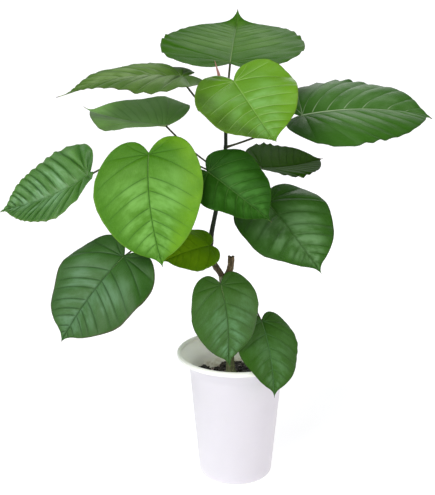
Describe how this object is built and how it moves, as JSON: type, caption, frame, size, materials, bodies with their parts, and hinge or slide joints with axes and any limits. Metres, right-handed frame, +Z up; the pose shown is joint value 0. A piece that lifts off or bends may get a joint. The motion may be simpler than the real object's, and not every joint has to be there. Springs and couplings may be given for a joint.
{
  "type": "potted ficus umbellata tree",
  "caption": "Young potted ficus tree: round white pot, bare woody foot, slender bent stem beside a pruned stub, and large heart-shaped leaves on long petioles.",
  "frame": {"origin": "centre of the flat underside of the pot, on the surface that it stands on", "axes": "+Z up along the pot's axis; -Y towards the viewer of the picture; +X to the viewer's right"},
  "size_m": [0.6486, 0.3945, 0.7217],
  "materials": {
    "pot_plastic": "satin",
    "soil": "rough, loose",
    "bark": "rough",
    "green_stem": "semi-matte",
    "bud": "semi-matte",
    "mature_leaf": "satin",
    "young_leaf": "satin"
  },
  "bodies": {
    "root": {"pot": "pot_plastic", "soil": "soil", "trunk": "bark", "main_stem": "green_stem", "cut_stub": "bark", "tip_bud": "bud", "leaf_01_top": "mature_leaf", "leaf_02_upper_front": "young_leaf", "leaf_03_upper_left": "mature_leaf", "leaf_04_left": "mature_leaf", "leaf_05_far_left": "mature_leaf", "leaf_06_front": "young_leaf", "leaf_07_lower_left": "mature_leaf", "leaf_08_right": "mature_leaf", "leaf_09_back_right": "mature_leaf", "leaf_10_centre": "mature_leaf", "leaf_11_lower_right": "mature_leaf", "leaf_12_small": "mature_leaf", "leaf_13_low_front": "mature_leaf", "leaf_14_low_right": "mature_leaf", "leaf_15_back_left": "mature_leaf", "leaf_16_low_back_right": "mature_leaf", "leaf_17_upper_back": "mature_leaf", "leaf_18_low_back_left": "mature_leaf"}
  },
  "joints": []
}
